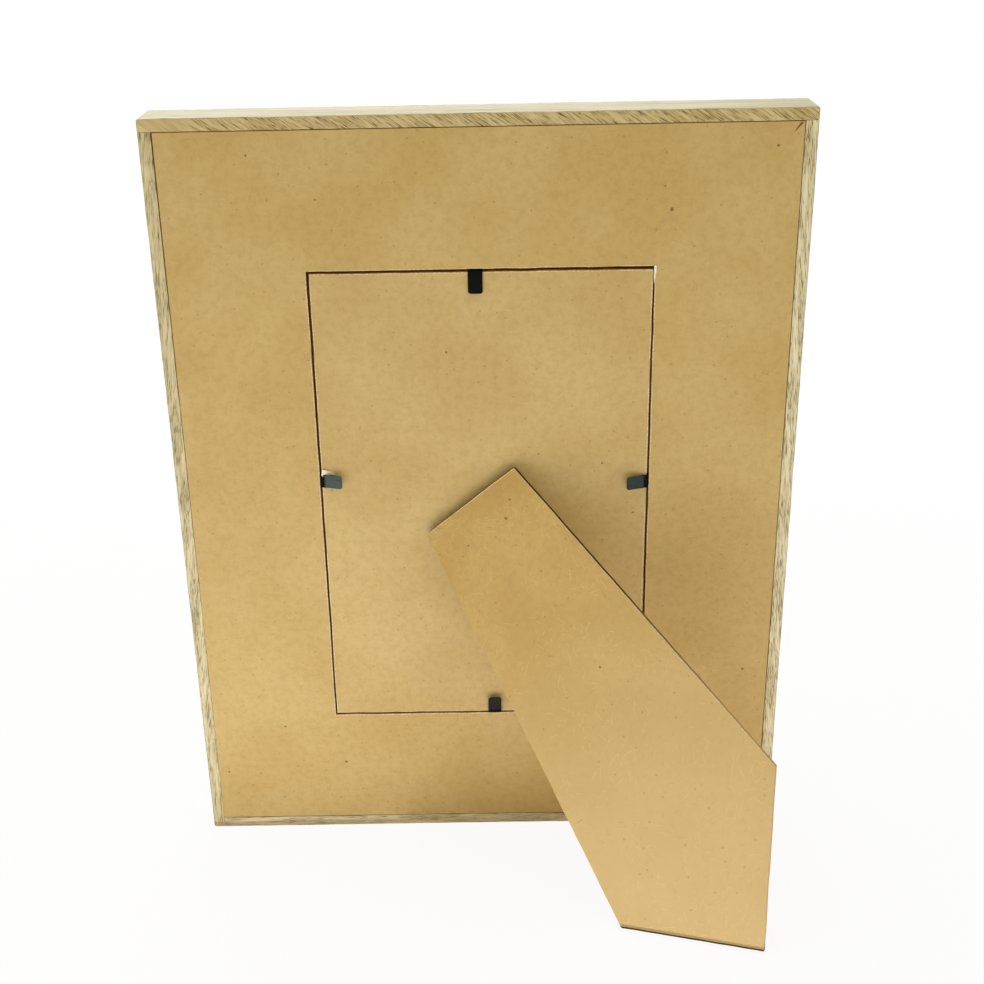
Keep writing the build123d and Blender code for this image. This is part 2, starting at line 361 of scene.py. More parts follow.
def fibreboard_face(name, to_scene, spots, light, dark, fibrous, painted_light_end_tone=None):
    """The pressed face of raw fibreboard: tan, softly clouded, with loose clusters of pale fibres between
    brown fibres, specks and flecks of bark. It can grow paler towards its lower end, a painted light for the
    brighter light that reaches that end."""
    finish = Finish(name)
    cloud = finish.noise(to_scene, 0.03)
    mottle = finish.noise(to_scene, 0.0026, detail=4, roughness=0.65)
    cluster = finish.fade(finish.noise(to_scene, 0.013), 0.33, 0.6)
    long_fibres = finish.fibres(to_scene, cell=0.0049, length=0.0046, width=0.00015, share=0.5)
    short_fibres = finish.fibres(to_scene, cell=0.0024, length=0.002, width=0.00014, share=0.5)
    pale = finish.math("MULTIPLY", finish.math("MAXIMUM", long_fibres, short_fibres), cluster)
    brown_fibres = finish.fibres(to_scene, cell=0.0037, length=0.0022, width=0.00014, share=0.4)
    specks = finish.fibres(to_scene, cell=0.0067, length=0.0009, width=0.00034, share=0.4)
    colour = finish.mix(finish.fade(cloud, 0.35, 0.65), paint(dark), paint(light))
    colour = finish.tint(colour, finish.fade(mottle, 0.4, 0.66), 0.3, mottled_tan)
    # Painted light: the lower end is made paler, as if more light fell on it there
    if painted_light_end_tone:
        lower = finish.fade(finish.measure(to_scene, "Y"), leg_painted_light_from, leg_painted_light_full)
        colour = finish.tint(colour, lower, 0.65, painted_light_end_tone)
    colour = finish.tint(colour, pale, fibrous, pale_fibre)
    colour = finish.tint(colour, brown_fibres, 0.16, brown_fibre)
    colour = finish.tint(colour, specks, 0.36, brown_fibre)
    colour = finish.tint(colour, finish.flecks(to_scene, spots), 0.75, bark)
    finish.bump(finish.math("ADD", pale, mottle), 0.00003)
    roughness = finish.between(mottle, 0.55, 0.7)
    return finish.done(Base_Color=colour, Roughness=roughness, Specular_IOR_Level=0.45)


def fibreboard_arris(name, to_scene, light, dark):
    """The fuzzy arris that a saw leaves on fibreboard: pale raised fibres, broken by darker stretches."""
    finish = Finish(name)
    fuzz = finish.noise(to_scene, 0.0006, detail=3, roughness=0.7)
    stretch = finish.noise(to_scene, 0.009)
    colour = finish.mix(finish.fade(fuzz, 0.35, 0.65), paint(dark), paint(light))
    colour = finish.tint(colour, finish.fade(stretch, 0.5, 0.7), 0.6, worn_fuzz)
    finish.bump(fuzz, 0.0001)
    roughness = finish.between(fuzz, 0.8, 1)
    return finish.done(Base_Color=colour, Roughness=roughness, Specular_IOR_Level=0.2)


def fibreboard_cut(name, to_scene, plain, burnt, painted_light_cut_tone=None):
    """The sawn edge of fibreboard, browned by the blade and layered between its two faces.
    Its dark tone can fade to a paler one towards the lower end: painted light for an edge lit more there, so that
    the dark above is partly painted shade."""
    finish = Finish(name)
    layers = finish.noise(to_scene, (0.004, 0.004, 0.0005), detail=3)
    burn = finish.noise(to_scene, 0.012)
    colour = finish.mix(finish.fade(layers, 0.35, 0.65), paint(burnt), paint(plain))
    colour = finish.tint(colour, finish.fade(burn, 0.45, 0.65), 0.7, burnt)
    # Painted shade above and painted light below: the edge fades from dark to pale towards the lower end
    if painted_light_cut_tone:
        lower = finish.fade(finish.measure(to_scene, "Y"), leg_cut_painted_light_from, leg_cut_painted_light_full)
        colour = finish.tint(colour, lower, 0.9, painted_light_cut_tone)
    finish.bump(layers, 0.0001)
    roughness = finish.between(layers, 0.75, 0.95)
    return finish.done(Base_Color=colour, Roughness=roughness, Specular_IOR_Level=0.1)


def mango_wood(name, to_scene, figure, light, dark, streaked, plain_up_to=None):
    """Sanded mango wood, its bands, streaks and open pores drawn out along the first of its own directions.
    Its left end can be plain up to a place across the back."""
    finish = Finish(name)
    length, width = figure
    bands = finish.noise(to_scene, (length, width, width), detail=3, roughness=0.55, distortion=0.8)
    streaks = finish.noise(to_scene, (length * 0.4, width / 4, width / 4), detail=3, roughness=0.6)
    pores = finish.noise(to_scene, (length * 0.2, width / 8, width / 8), detail=1)
    stain = finish.noise(to_scene, (length, width * 3, width * 3))
    dark_streaks = finish.fade(streaks, 0.48, 0.66)
    open_pores = finish.math("MULTIPLY", finish.fade(pores, 0.56, 0.66), finish.fade(bands, 0.62, 0.42))
    dark_pores = open_pores
    if plain_up_to:
        figured = finish.fade(finish.measure(back, "X"), plain_up_to, plain_up_to + plain_end_fade)
        dark_streaks = finish.math("MULTIPLY", dark_streaks, figured)
        dark_pores = finish.math("MULTIPLY", dark_pores, figured)
    colour = finish.mix(finish.fade(bands, 0.3, 0.7), paint(dark), paint(light))
    colour = finish.tint(colour, finish.fade(stain, 0.5, 0.7), 0.2, stained_wood)
    colour = finish.tint(colour, dark_streaks, 0.75 * streaked, wood_streak)
    colour = finish.tint(colour, dark_pores, streaked, wood_pore)
    finish.bump(finish.math("SUBTRACT", streaks, open_pores), 0.0001)
    roughness = finish.between(streaks, 0.4, 0.62)
    return finish.done(Base_Color=colour, Roughness=roughness, Specular_IOR_Level=0.35)


def black_steel(name, to_scene, painted_reflection_tone):
    """Blackened soft steel, with lighter patches on the part that lies over the door: a painted reflection, its
    tone given for each tab.
    """
    finish = Finish(name)
    smear = finish.noise(to_scene, (0.0026, 0.0012, 0.0012), detail=3, roughness=0.6)
    rolled = finish.noise(to_scene, (0.0012, 0.0001, 0.0001))
    # Painted reflection: lighter patches past the bend, where the flap lies over the door
    over_door = finish.fade(finish.measure(to_scene, "X"), tab_reflection_from, tab_reflection_full)
    reflection_share = finish.math("MULTIPLY", finish.fade(smear, 0.15, 0.5), over_door)
    colour = finish.mix(reflection_share, paint(bare_black), paint(painted_reflection_tone))
    finish.bump(rolled, 0.00001)
    roughness = finish.between(rolled, 0.45, 0.65)
    return finish.done(Base_Color=colour, Roughness=roughness, Specular_IOR_Level=0.05)


def plated_steel(name, to_scene):
    """Zinc plated sheet steel with fine rolling lines and a dull bloom."""
    finish = Finish(name)
    rolled = finish.noise(to_scene, (0.006, 0.00012, 0.00012), detail=3)
    bloom = finish.noise(to_scene, 0.003, detail=3)
    colour = finish.mix(finish.fade(bloom, 0.35, 0.7), paint(bright_zinc), paint(dull_zinc))
    finish.bump(rolled, 0.00001)
    return finish.done(Base_Color=colour, Roughness=finish.between(rolled, 0.25, 0.45), Metallic=1)


def clear_glass(name):
    """Clear glass with a faint wipe mark or two, which lets the light through to the sheet behind it."""
    finish = Finish(name)
    wiped = finish.noise(back, (0.05, 0.012, 0.05), detail=3)
    smear = finish.math("MULTIPLY", finish.fade(wiped, 0.5, 0.8), 0.05)
    path = finish.add("ShaderNodeLightPath", {}).outputs
    carries_light = finish.math("MAXIMUM", path["Is Shadow Ray"], path["Is Diffuse Ray"])
    clear = finish.add("ShaderNodeBsdfTransparent", {"Color": paint(glass_tone)}).outputs["BSDF"]
    either = finish.add("ShaderNodeMixShader", {0: carries_light, 1: finish.shader.outputs["BSDF"], 2: clear})
    finish.feed(finish.tree.nodes["Material Output"].inputs["Surface"], either.outputs["Shader"])
    return finish.done(Base_Color=paint(glass_tone), Roughness=smear, Transmission_Weight=1, IOR=1.5)


def plain_sheet(name, light, dark, tooth_size, depth):
    """Paper or card: a plain tone with a faint tooth."""
    finish = Finish(name)
    tooth = finish.noise(back, tooth_size, detail=4, roughness=0.6)
    colour = finish.mix(finish.fade(tooth, 0.35, 0.65), paint(dark), paint(light))
    finish.bump(tooth, depth)
    roughness = finish.between(tooth, 0.6, 0.8)
    return finish.done(Base_Color=colour, Roughness=roughness, Specular_IOR_Level=0.3)


# Modelling by hand
def alone(piece):
    """Selects one piece and nothing else."""
    bpy.ops.object.select_all(action="DESELECT")
    piece.select_set(True)
    bpy.context.view_layer.objects.active = piece


def start(name, add, scale=(1, 1, 1), **how):
    """A new primitive with its place and size already in its mesh."""
    bpy.ops.object.select_all(action="DESELECT")
    add(**how)
    piece = bpy.context.object
    piece.name = name
    piece.scale = scale
    bpy.ops.object.transform_apply(location=True, rotation=True, scale=True)
    return piece


def solid_block(name, low, high):
    """A new block that reaches from one corner to the other."""
    middle = (low + high) / 2
    return start(name, bpy.ops.mesh.primitive_cube_add, high - low, size=1, location=middle)


def flat_sheet(name, low, high):
    """A new plane that reaches from one corner to the other, at the height of the second."""
    middle = ((low.x + high.x) / 2, (low.y + high.y) / 2, high.z)
    scale = (high.x - low.x, high.y - low.y, 1)
    return start(name, bpy.ops.mesh.primitive_plane_add, scale, size=1, location=middle)


def edit(piece, choose, kind="EDGE"):
    """Opens a piece in edit mode, with only the points, edges or faces selected that pass a test."""
    alone(piece)
    bpy.ops.object.mode_set(mode="EDIT")
    bpy.ops.mesh.select_mode(type=kind)
    bpy.ops.mesh.select_all(action="DESELECT")
    shape = bmesh.from_edit_mesh(piece.data)
    for part in {"VERT": shape.verts, "EDGE": shape.edges, "FACE": shape.faces}[kind]:
        part.select_set(choose(part))
    bmesh.update_edit_mesh(piece.data)


def close():
    bpy.ops.object.mode_set(mode="OBJECT")


def use(piece, kind, **settings):
    """Adds a modifier and applies it."""
    modifier = piece.modifiers.new(kind.lower(), kind)
    for setting, value in settings.items():
        setattr(modifier, setting, value)
    alone(piece)
    bpy.ops.object.modifier_apply(modifier=modifier.name)


def everything(part):
    return True


def middle_of(edge):
    return (edge.verts[0].co + edge.verts[1].co) / 2


def runs_along(axis):
    """A test for edges that run along one of a piece's own directions."""
    return lambda edge: abs(edge.verts[0].co[axis] - edge.verts[1].co[axis]) > tiny


def is_arris(edge):
    """True for an edge between two faces that meet at about a right angle."""
    normals = [face.normal for face in edge.link_faces]
    return len(normals) == 2 and abs(normals[0].dot(normals[1])) < square_limit


def upper_arris(edge):
    return is_arris(edge) and max(face.normal.z for face in edge.link_faces) > level_limit


def lower_arris(edge):
    return is_arris(edge) and min(face.normal.z for face in edge.link_faces) < -level_limit


def merged_copy(name, node):
    """A copy of a CAD node, its loose triangles merged into whole faces."""
    piece = bpy.data.objects.new(name, frame["nodes"][node].data.copy())
    bpy.context.collection.objects.link(piece)
    piece.data.materials.clear()
    edit(piece, everything, "VERT")
    bpy.ops.mesh.remove_doubles(threshold=tiny)
    bpy.ops.mesh.customdata_custom_splitnormals_clear()
    bpy.ops.mesh.dissolve_limited(angle_limit=merge_angle)
    close()
    return piece


def cut_up(piece, choose, cuts):
    """Divides the chosen edges into short lengths."""
    edit(piece, choose)
    bpy.ops.mesh.subdivide(number_cuts=cuts)
    close()


def round_corners(sheet, choose, radius, segments):
    """Rounds the chosen corners of a sheet that has no thickness yet."""
    edit(sheet, choose, "VERT")
    bpy.ops.mesh.bevel(offset=radius, segments=segments, affect="VERTICES")
    close()


def ease(piece, choose, offset, segments=2, slot=-1):
    """Rounds the chosen edges and gives the new faces a material slot."""
    edit(piece, choose)
    bpy.ops.mesh.bevel(offset=offset, segments=segments, affect="EDGES", material=slot)
    close()


def wander(piece, chosen, length, amount):
    """Lets the chosen points stray a little sideways, as a saw or a sander does."""
    for vertex in piece.data.vertices:
        if chosen(vertex.co):
            stray = noise.noise_vector(vertex.co / length)
            vertex.co += Vector((stray.x, stray.y, 0)) * amount


def settle(piece, to_scene, body, slot, *nodes):
    """Puts a finished piece in its place in the scene and hands it to its body."""
    piece.data.transform(to_scene)
    edit(piece, everything, "VERT")
    bpy.ops.mesh.remove_doubles(threshold=tiny)
    close()
    bpy.ops.object.shade_smooth_by_angle(angle=smooth_angle)
    use(piece, "WEIGHTED_NORMAL", keep_sharp=True)
    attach(piece, body)
    if nodes:
        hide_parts(*nodes)


# The edge strips, sanded round along their outer arrises
def along_grain(turn):
    """The back's directions, turned in its plane so that the first one follows a grain."""
    return back @ Matrix.Rotation(radians(turn), 4, "Z")


def edge_gap(place):
    """How far a point is from the frame's outline."""
    return min(half_width - abs(place.x), place.y, height - place.y)


def frame_corner(edge):
    """True for an arris that is one of the frame's four corners."""
    place = middle_of(edge)
    at_side = half_width - abs(place.x) < outline_reach
    return is_arris(edge) and at_side and min(place.y, height - place.y) < outline_reach


def outline_arris(edge):
    """True for an arris beside the broad outer side of a strip."""
    return (upper_arris(edge) or lower_arris(edge)) and edge_gap(middle_of(edge)) < outline_reach


def edge_strip(name, node, along, wood, outer_wood):
    """One strip, its length along x (0) or y (1), with a wood of its own on its broad outer side."""
    low, high = span(node, back)

    def sanded(place):
        """True on the outline, apart from the strip's two ends."""
        return low[along] + tiny < place[along] < high[along] - tiny and edge_gap(place) < tiny

    strip = solid_block(name, low, high)
    for material in (wood, outer_wood, greyer_arris_wood):
        strip.data.materials.append(material)
    cut_up(strip, runs_along(along), strip_cuts)
    wander(strip, sanded, strip_wander_length, strip_wander)
    ease(strip, frame_corner, strip_corner_radius, segments=4)
    ease(strip, outline_arris, strip_outer_arris, segments=3, slot=2)
    for polygon in strip.data.polygons:
        faces_sideways = abs(polygon.normal[1 - along]) > side_limit
        on_side = faces_sideways and edge_gap(polygon.center) < outline_reach
        if polygon.material_index < 2:
            polygon.material_index = int(on_side)
    ease(strip, is_arris, strip_inner_arris)
    settle(strip, back, "frame", "mango_wood", node)


def strip_wood(name, turn, light, dark, streaked, plain_up_to=None):
    """The wood on a strip's narrow face, where the grain runs out at an angle."""
    grain = along_grain(turn)
    return mango_wood(f"mango_wood_{name}", grain, strip_figure, light, dark, streaked, plain_up_to)


def side_wood(name, turn, light, dark, streaked):
    """The wood on a strip's broad outer side, with a long calm grain."""
    return mango_wood(f"mango_wood_{name}", along_grain(turn), strip_side_figure, light, dark, streaked)


# Darker, greyer wood on the rounded outer arrises of the strips
arris_tones = (204, 190, 148), (172, 156, 112)
greyer_arris_wood = mango_wood("mango_wood_arris", back, strip_arris_figure, *arris_tones, streaked=0.4)
top_wood = strip_wood("top", -34, (216, 196, 142), (192, 168, 110), 0.95, top_plain_end)
left_wood = strip_wood("left", 85, (224, 208, 162), (188, 174, 130), 0.75)
right_wood = strip_wood("right", 95, (240, 228, 188), (208, 194, 150), 0.85)
bottom_wood = strip_wood("bottom", 3, (226, 212, 174), (196, 180, 140), 0.6)
top_side = side_wood("top_side", -1, (202, 196, 164), (188, 180, 146), 0.15)
left_side = side_wood("left_side", 89, (228, 208, 160), (200, 178, 126), 0.4)
right_side = side_wood("right_side", 91, (230, 210, 160), (204, 182, 130), 0.45)
bottom_side = side_wood("bottom_side", 1, (220, 200, 152), (194, 172, 122), 0.4)
edge_strip("top_edge_strip", "rim_top", 0, top_wood, top_side)
edge_strip("left_edge_strip", "rim_left", 1, left_wood, left_side)
edge_strip("right_edge_strip", "rim_right", 1, right_wood, right_side)
edge_strip("bottom_edge_strip", "rim_bottom", 0, bottom_wood, bottom_side)


# The front boards, with their mitres and arrises just eased
def long_arris(edge):
    return is_arris(edge) and edge.calc_length() > front_arris_least_length


def front_board(name, node, turn):
    board = merged_copy(name, node)
    board.data.transform(back.inverted())
    ease(board, long_arris, front_arris)
    tones = (222, 200, 148), (192, 164, 108)
    wood = mango_wood(f"mango_wood_{name}", along_grain(turn), front_figure, *tones, streaked=0.45)
    board.data.materials.append(wood)
    settle(board, back, "frame", "mango_wood", node)


front_board("front_top_board", "front_top_rail", 1.5)
front_board("front_bottom_board", "front_bottom_rail", -2)
front_board("front_left_board", "front_left_stile", 88)
front_board("front_right_board", "front_right_stile", 91)


# The fibreboard pieces
def board_slots(piece, face, arris, cut):
    """Fibreboard's three finishes: slot 0 on the faces, 1 on the fuzzy arrises and 2 on the sawn edges."""
    for material in (face, arris, cut):
        piece.data.materials.append(material)
    for polygon in piece.data.polygons:
        polygon.material_index = 0 if abs(polygon.normal.z) > face_limit else 2


back_arris = fibreboard_arris("fibreboard_arris_back", back, fuzz_light, fuzz_dark)
torn_skin = fibreboard_arris("fibreboard_torn_skin", back, (255, 250, 228), (244, 228, 190))
back_cut = fibreboard_cut("fibreboard_cut_back", back, (206, 150, 76), (168, 116, 56))


# The back panel, a sheet with its cut-out sawn from it
def cutout_arris(edge):
    """True for an outer arris that is well inside the panel's border."""
    return upper_arris(edge) and edge_gap(middle_of(edge)) > border_reach


def scratch(panel):
    """A groove near the top right corner, in a slot of its own, that tapers away from the corner."""
    run = scratch_to - scratch_from
    cutter = start(
        "scratch_cutter",
        bpy.ops.mesh.primitive_cone_add,
        vertices=4,
        radius1=scratch_radius,
        radius2=scratch_radius / scratch_taper,
        depth=run.length,
        location=(scratch_from + scratch_to) / 2,
        rotation=(0, pi / 2, atan2(run.y, run.x)),
    )
    use(panel, "BOOLEAN", object=cutter, operation="DIFFERENCE")
    bpy.data.objects.remove(cutter)
    panel.data.materials.append(fibreboard_cut("fibreboard_scratch", back, (162, 120, 62), (116, 80, 36)))
    for polygon in panel.data.polygons:
        nearest = intersect_point_line(polygon.center, scratch_from, scratch_to)[0]
        if polygon.center.z < -tiny and (polygon.center - nearest).length < scratch_radius:
            polygon.material_index = 3


def back_board():
    low, high = span("back_panel", back)
    cut_low, cut_high = span("glass_pane", back)
    cut_low -= Vector((glass_room, glass_room, 0))
    cut_high += Vector((glass_room, glass_room, 0))

    def in_cutout(place):
        across = cut_low.x - tiny < place.x < cut_high.x + tiny
        return across and cut_low.y - tiny < place.y < cut_high.y + tiny

    panel = flat_sheet("back_board", low, high)
    edit(panel, everything, "FACE")
    bpy.ops.mesh.inset(thickness=cut_low.x - low.x)
    bpy.ops.mesh.delete(type="FACE")
    close()
    cut_up(panel, lambda edge: edge.is_boundary, saw_cuts)
    for vertex in panel.data.vertices:
        if vertex.co.x < low.x + tiny:
            vertex.co.x += panel_left_taper * (2 * (vertex.co.y / height) ** 2 - 1)
    wander(panel, in_cutout, saw_wander_length, saw_wander)
    use(panel, "SOLIDIFY", thickness=high.z - low.z, offset=-1)
    tones = (204, 174, 108), (197, 165, 97)
    face = fibreboard_face("fibreboard_face_panel", back, panel_flecks, *tones, fibrous=0.22)
    board_slots(panel, face, back_arris, back_cut)
    ease(panel, cutout_arris, board_arris, slot=1)
    ease(panel, upper_arris, panel_outer_arris, slot=0)
    scratch(panel)
    settle(panel, back, "frame", "fibreboard", "back_panel")


# The door that fills the cut-out, turned a little in it
def door_board():
    low, high = span("door_panel", back)

    def right_arris(edge):
        return upper_arris(edge) and middle_of(edge).x > high.x - 2 * door_over_width

    door = flat_sheet("door_board", low, high)
    for vertex in door.data.vertices:
        vertex.co.x += door_over_width if vertex.co.x > 0 else -door_over_width
    middle = Matrix.Translation((0, (low.y + high.y) / 2, high.z))
    door.data.transform(middle @ Matrix.Rotation(door_turn, 4, "Z") @ middle.inverted())
    cut_up(door, everything, saw_cuts)
    wander(door, everything, saw_wander_length, saw_wander)
    use(door, "SOLIDIFY", thickness=high.z - low.z, offset=-1)
    tones = (206, 177, 113), (199, 168, 102)
    face = fibreboard_face("fibreboard_face_door", back, door_flecks, *tones, fibrous=0.24)
    board_slots(door, face, back_arris, back_cut)
    ease(door, right_arris, door_frayed_arris, slot=1)
    ease(door, upper_arris, board_arris, slot=1)
    settle(door, back, "frame", "fibreboard", "door_panel")


# Two torn flakes of the boards' skin
def torn_flake(name, first, last, width, lift):
    """A thin ragged sliver that lies on the boards from one place to another, its first end curled up."""
    level = span("door_panel", back)[1].z
    start_at, end_at = Vector((*first, level)), Vector((*last, level))
    run = end_at - start_at
    flake = flat_sheet(name, Vector((0, -width / 2, 0)), Vector((run.length, width / 2, 0)))
    cut_up(flake, runs_along(0), torn_flake_cuts)
    for vertex in flake.data.vertices:
        share = vertex.co.x / run.length
        vertex.co.y *= torn_flake_spread - share ** 2
        vertex.co.z += torn_flake_thickness + lift * (1 - share) ** 2
    wander(flake, everything, torn_flake_thickness * 4, width / 5)
    use(flake, "SOLIDIFY", thickness=torn_flake_thickness, offset=0)
    ease(flake, is_arris, torn_flake_thickness / 4, segments=1)
    flake.data.materials.append(torn_skin)
    turn = Matrix.Rotation(atan2(run.y, run.x), 4, "Z")
    settle(flake, back @ Matrix.Translation(start_at) @ turn, "frame", "fibreboard")


back_board()
door_board()
torn_flake("flake_by_left_tab", (-0.0512, 0.1355), (-0.0471, 0.135), width=0.0019, lift=0.0006)
torn_flake("flake_at_door_corner", (0.0521, 0.2006), (0.0518, 0.195), width=0.0007, lift=0.0001)

# The easel leg, in its own directions: x along the hinge pin, y up the leg and z out of its outer face
leg_hinge = joints["leg_hinge"]
along_pin = -Vector(leg_hinge["axis"])
pin_middle = Vector(leg_hinge["pos_m"])
leg_normal = max(frame["nodes"]["easel_leg"].data.polygons, key=lambda face: face.area).normal.copy()
if leg_normal.dot(out_of_back) < 0:
    leg_normal.negate()
leg_from_pin = directions(along_pin, leg_normal.cross(along_pin), pin_middle)
leg_outer = leg_from_pin @ Matrix.Translation((0, 0, span("easel_leg", leg_from_pin)[1].z))


def leg_corners():
    """The corners of the leg's outer face, in turn."""
    corners = {
        (round(place.x, 6), round(place.y, 6))
        for place in own_points("easel_leg", leg_outer)
        if place.z > -tiny
    }
    middle = span("easel_leg", leg_outer)[0].y / 2
    return sorted(corners, key=lambda corner: atan2(corner[1] - middle, corner[0]))


def foot_arris(edge):
    return upper_arris(edge) and sum(face.normal.y for face in edge.link_faces) < -leg_foot_slope


def top_arris(edge):
    return upper_arris(edge) and sum(face.normal.y for face in edge.link_faces) > level_limit


def right_leg_arris(edge):
    return upper_arris(edge) and sum(face.normal.x for face in edge.link_faces) > side_limit


def leg_board():
    low, high = span("easel_leg", leg_outer)
    corners = leg_corners()
    add = bpy.ops.mesh.primitive_circle_add
    leg = start("leg_board", add, vertices=len(corners), radius=1, fill_type="NGON")
    ring = sorted(leg.data.vertices, key=lambda vertex: atan2(vertex.co.y, vertex.co.x))
    for vertex, (x, y) in zip(ring, corners):
        vertex.co = (x, y, 0)
    round_corners(leg, lambda vertex: vertex.co.x < 0 < vertex.co.y, leg_crushed_corner, segments=3)
    cut_up(leg, lambda edge: edge.calc_length() > 2 * leg_crushed_corner, saw_cuts)
    wander(leg, everything, saw_wander_length, saw_wander)
    use(leg, "SOLIDIFY", thickness=high.z - low.z, offset=-1)
    tones = (201, 167, 98), (191, 155, 84)
    # The foot's paler tone is painted light
    painted_light_foot_tone = (211, 183, 127)
    face = fibreboard_face("fibreboard_face_leg", leg_outer, leg_flecks, *tones, 0.42, painted_light_foot_tone)
    arris = fibreboard_arris("fibreboard_arris_leg", leg_outer, fuzz_light, fuzz_dark)
    # The leg's cut edges: dark brown as a burnt cut and as painted shade near the top, paler towards the foot as
    # painted light
    cut = fibreboard_cut("fibreboard_cut_leg", leg_outer, (108, 70, 24), (64, 40, 10), (196, 164, 108))
    board_slots(leg, face, arris, cut)
    # Painted shadow: the foot's chamfer is dark grey for the contact shadow where the foot meets the table
    leg.data.materials.append(fibreboard_cut("painted_shadow_foot_leg", leg_outer, (96, 88, 76), (60, 54, 48)))
    ease(leg, foot_arris, leg_foot_chamfer, segments=1, slot=3)
    # The top chamfer's dark facets are the burnt cut and painted shade, for the shadow line on the door above the
    # leg's top; its upward facets take the pale arris
    ease(leg, top_arris, leg_top_chamfer, segments=3, slot=2)
    for polygon in leg.data.polygons:
        if polygon.material_index == 2 and polygon.normal.z > arris_limit:
            polygon.material_index = 1
    ease(leg, right_leg_arris, board_hidden_arris, slot=1)
    ease(leg, upper_arris, board_hidden_arris, slot=0)
    ease(leg, lower_arris, board_hidden_arris, slot=1)
    settle(leg, leg_outer, "leg", "fibreboard", "easel_leg")


leg_board()


# The tabs, each a stem driven into the wall of the cut-out and a flap that is bent over the door
def tab_flap(side, lifted, thickness, steel):
    """The flap, bowed, with its far corners rounded and its near end rolled."""
    node = f"tab_{side}_blade"
    low, high = span(node, lifted)

    def near_arris(edge):
        return is_arris(edge) and middle_of(edge).x < tiny

    flap = flat_sheet(f"{side}_tab_flap", Vector((0, low.y, 0)), Vector((high.x, high.y, 0)))
    cut_up(flap, runs_along(0), tab_cuts)
    round_corners(flap, lambda vertex: vertex.co.x > high.x - tiny, tab_corner_radius, segments=5)
    for vertex in flap.data.vertices:
        vertex.co.z += tab_bow * (vertex.co.x / high.x) ** 2
    use(flap, "SOLIDIFY", thickness=thickness, offset=0)
    ease(flap, near_arris, thickness / 2 - tiny, segments=3)
    ease(flap, is_arris, steel_arris)
    flap.data.materials.append(steel)
    settle(flap, lifted, f"tab_{side}", "black_steel", node)


def tab_stem(side, own, thickness, steel):
    """The stem, bent once from its slot in the wall to the flap."""
    node = f"tab_{side}_shank"
    low, high = span(node, own)

    def near_end(edge):
        return min(corner.co.x for corner in edge.verts) > -tab_bend_radius - tiny

    level = low.z + thickness / 2
    stem = flat_sheet(f"{side}_tab_stem", low, Vector((-tab_bend_radius, high.y, level)))
    edit(stem, near_end)
    centre = (-tab_bend_radius, 0, level + tab_bend_radius)
    bpy.ops.mesh.spin(steps=tab_bend_steps, angle=pi / 2, center=centre, axis=(0, 1, 0))
    rise = high.z + tab_stem_rise - level - tab_bend_radius
    bpy.ops.mesh.extrude_region_move(TRANSFORM_OT_translate={"value": (0, 0, rise)})
    close()
    use(stem, "SOLIDIFY", thickness=thickness, offset=0)
    ease(stem, is_arris, steel_arris)
    stem.data.materials.append(steel)
    settle(stem, own, "frame", "black_steel", node)


def tab(side, painted_reflection_tone):
    joint = joints[f"tab_{side}_bend"]
    axis = Vector(joint["axis"])
    own = directions(out_of_back.cross(axis), -axis, Vector(joint["pos_m"]))
    lifted = own @ Matrix.Rotation(radians(joint["range_deg"][0]), 4, "Y")
    thickness = -2 * span(f"tab_{side}_blade", lifted)[0].x
    steel = black_steel(f"black_steel_{side}", lifted, painted_reflection_tone)
    tab_flap(side, lifted, thickness, steel)
    tab_stem(side, own, thickness, steel)


# Each tab's lighter tone is a painted reflection, paler on the lifted tabs than on the flat top one
tab("top", (16, 14, 12))
tab("left", (78, 88, 86))
tab("right", (58, 66, 62))
tab("bottom", (38, 41, 34))


# The strut hinge under the top of the leg
def hinge_piece(name, node, to_scene, body):
    piece = merged_copy(name, node)
    use(piece, "BEVEL", width=hinge_arris, segments=2, limit_method="ANGLE", angle_limit=hinge_sharp_angle)
    piece.data.materials.append(plated_steel(f"plated_steel_{name}", to_scene))
    settle(piece, Matrix.Identity(4), body, "plated_steel", node)


door_from_pin = directions(along_pin, out_of_back.cross(along_pin), pin_middle)
hinge_piece("hinge_leaf_on_door", "hinge_door_plate", door_from_pin, "frame")
hinge_piece("hinge_leaf_on_leg", "hinge_leg_plate", leg_from_pin, "leg")
hinge_piece("hinge_rivet", "hinge_pin", door_from_pin, "frame")


# The glass, its edges seamed and its back just off the paper
def glass_pane():
    low, high = span("glass_pane", back)
    high.z -= glass_off_paper
    glass = solid_block("glass", low, high)
    ease(glass, is_arris, glass_arris, segments=1)
    glass.data.materials.append(clear_glass("wiped_glass"))
    settle(glass, back, "frame", "clear_glass", "glass_pane")


glass_pane()


# The pieces inside, which keep their CAD shapes
def coat(node, material):
    shown = frame["nodes"][node]
    shown.data.materials.clear()
    shown.data.materials.append(material)


paper = plain_sheet("smooth_paper", (246, 244, 239), (238, 236, 229), tooth_size=0.0004, depth=0.00001)
card = plain_sheet("rough_card", (192, 186, 176), (168, 160, 148), tooth_size=0.0007, depth=0.00003)
coat("picture_sheet", paper)
coat("filler_card", card)
coat("corner_v_nails", plated_steel("plated_steel_nails", back))


